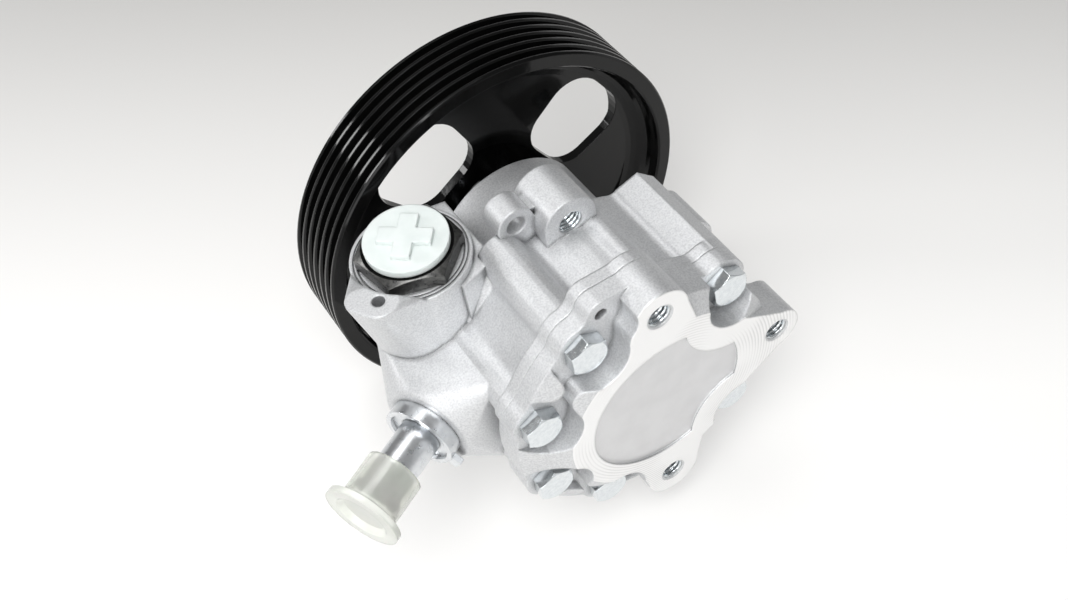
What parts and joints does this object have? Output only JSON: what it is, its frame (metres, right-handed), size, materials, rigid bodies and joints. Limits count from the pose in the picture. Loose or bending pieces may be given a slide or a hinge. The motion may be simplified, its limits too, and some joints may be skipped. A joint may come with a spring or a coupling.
{
  "type": "power steering pump",
  "caption": "Hydraulic vane pump for power steering with a black ribbed belt pulley, cast aluminium housing and transit plugs in its ports.",
  "frame": {"origin": "middle of the two upright mounting holes on the machined face of the rear cover, which is on the shaft axis", "axes": "+Y along the shaft towards the pulley, +Z along the outlet port, +X towards the side lug"},
  "size_m": [0.1482, 0.1014, 0.1186],
  "materials": {
    "cast_aluminium": "as cast and tumbled, with milled faces",
    "zinc_steel": "bright zinc plate",
    "ground_steel": "ground",
    "bright_steel": "bright drawn and plated",
    "dark_steel": "black oxide",
    "black_paint": "gloss",
    "bronze": "machined",
    "seal_rubber": "matt",
    "white_plastic": "moulded polyethylene",
    "clear_plastic": "translucent moulded polyethylene"
  },
  "bodies": {
    "pump": {"housing": "cast_aluminium", "rear_cover": "cast_aluminium", "cover_bolts": "zinc_steel", "cover_seal": "seal_rubber", "rear_bush": "bronze", "rear_plate": "ground_steel", "cam_ring": "ground_steel", "front_plate": "ground_steel", "plate_seal": "seal_rubber", "disc_spring": "ground_steel", "dowels": "ground_steel", "main_bush": "bronze", "shaft_seal": "seal_rubber", "bearing_outer": "ground_steel", "bearing_balls": "bright_steel", "bearing_cage": "bronze", "bearing_clip": "dark_steel", "outlet_union": "dark_steel", "union_seal": "seal_rubber", "outlet_plug": "white_plastic", "valve_spring": "ground_steel", "inlet_tube": "bright_steel", "tube_seal": "seal_rubber", "tube_retainer": "bright_steel", "inlet_cap": "clear_plastic"},
    "shaft": {"drive_shaft": "ground_steel", "pulley": "black_paint", "bearing_inner": "ground_steel", "rotor": "ground_steel", "vanes": "ground_steel", "rotor_clip": "dark_steel"},
    "valve": {"flow_valve": "ground_steel"}
  },
  "joints": [
    {"name": "shaft_spin", "type": "hinge", "parent": "pump", "child": "shaft", "pos_m": [0, 0, 0], "axis": [0, 1, 0], "continuous": true},
    {"name": "valve_slide", "type": "slide", "parent": "pump", "child": "valve", "axis": [0, 0, 1], "range_m": [-0.005, 0], "stiffness_N_per_m": 400, "springref_m": 0.001, "deforming": ["valve_spring"]}
  ]
}
